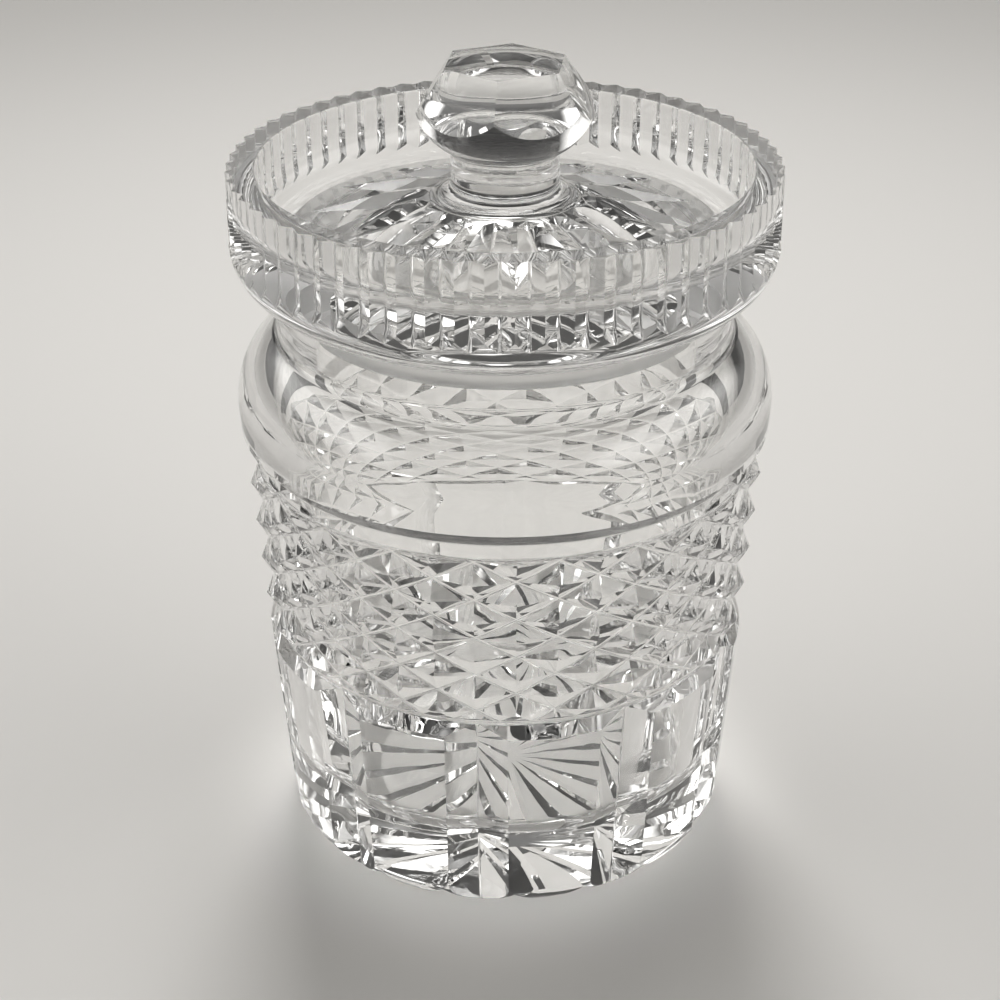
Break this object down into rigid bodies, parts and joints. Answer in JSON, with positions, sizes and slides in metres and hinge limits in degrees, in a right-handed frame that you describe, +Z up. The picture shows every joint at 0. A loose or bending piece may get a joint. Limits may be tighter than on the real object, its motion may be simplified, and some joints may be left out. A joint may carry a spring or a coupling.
{
  "type": "honey pot",
  "caption": "Covered honey pot of clear cut glass: a thick jar with ring, diamond and mitre cuts, and a loose dished lid with a fluted gallery, a cut star and a faceted knob.",
  "frame": {"origin": "centre of the foot, on the table", "axes": "+Z up along the axis of the jar, -Y towards the front"},
  "size_m": [0.086, 0.086, 0.1306],
  "materials": {
    "crystal": "polished"
  },
  "bodies": {
    "jar": {"jar": "crystal"},
    "lid": {"lid": "crystal", "knob": "crystal"}
  },
  "joints": [
    {"name": "lid_lift", "type": "slide", "parent": "jar", "child": "lid", "axis": [0, 0, 1], "range_m": [0, 0.08]}
  ]
}
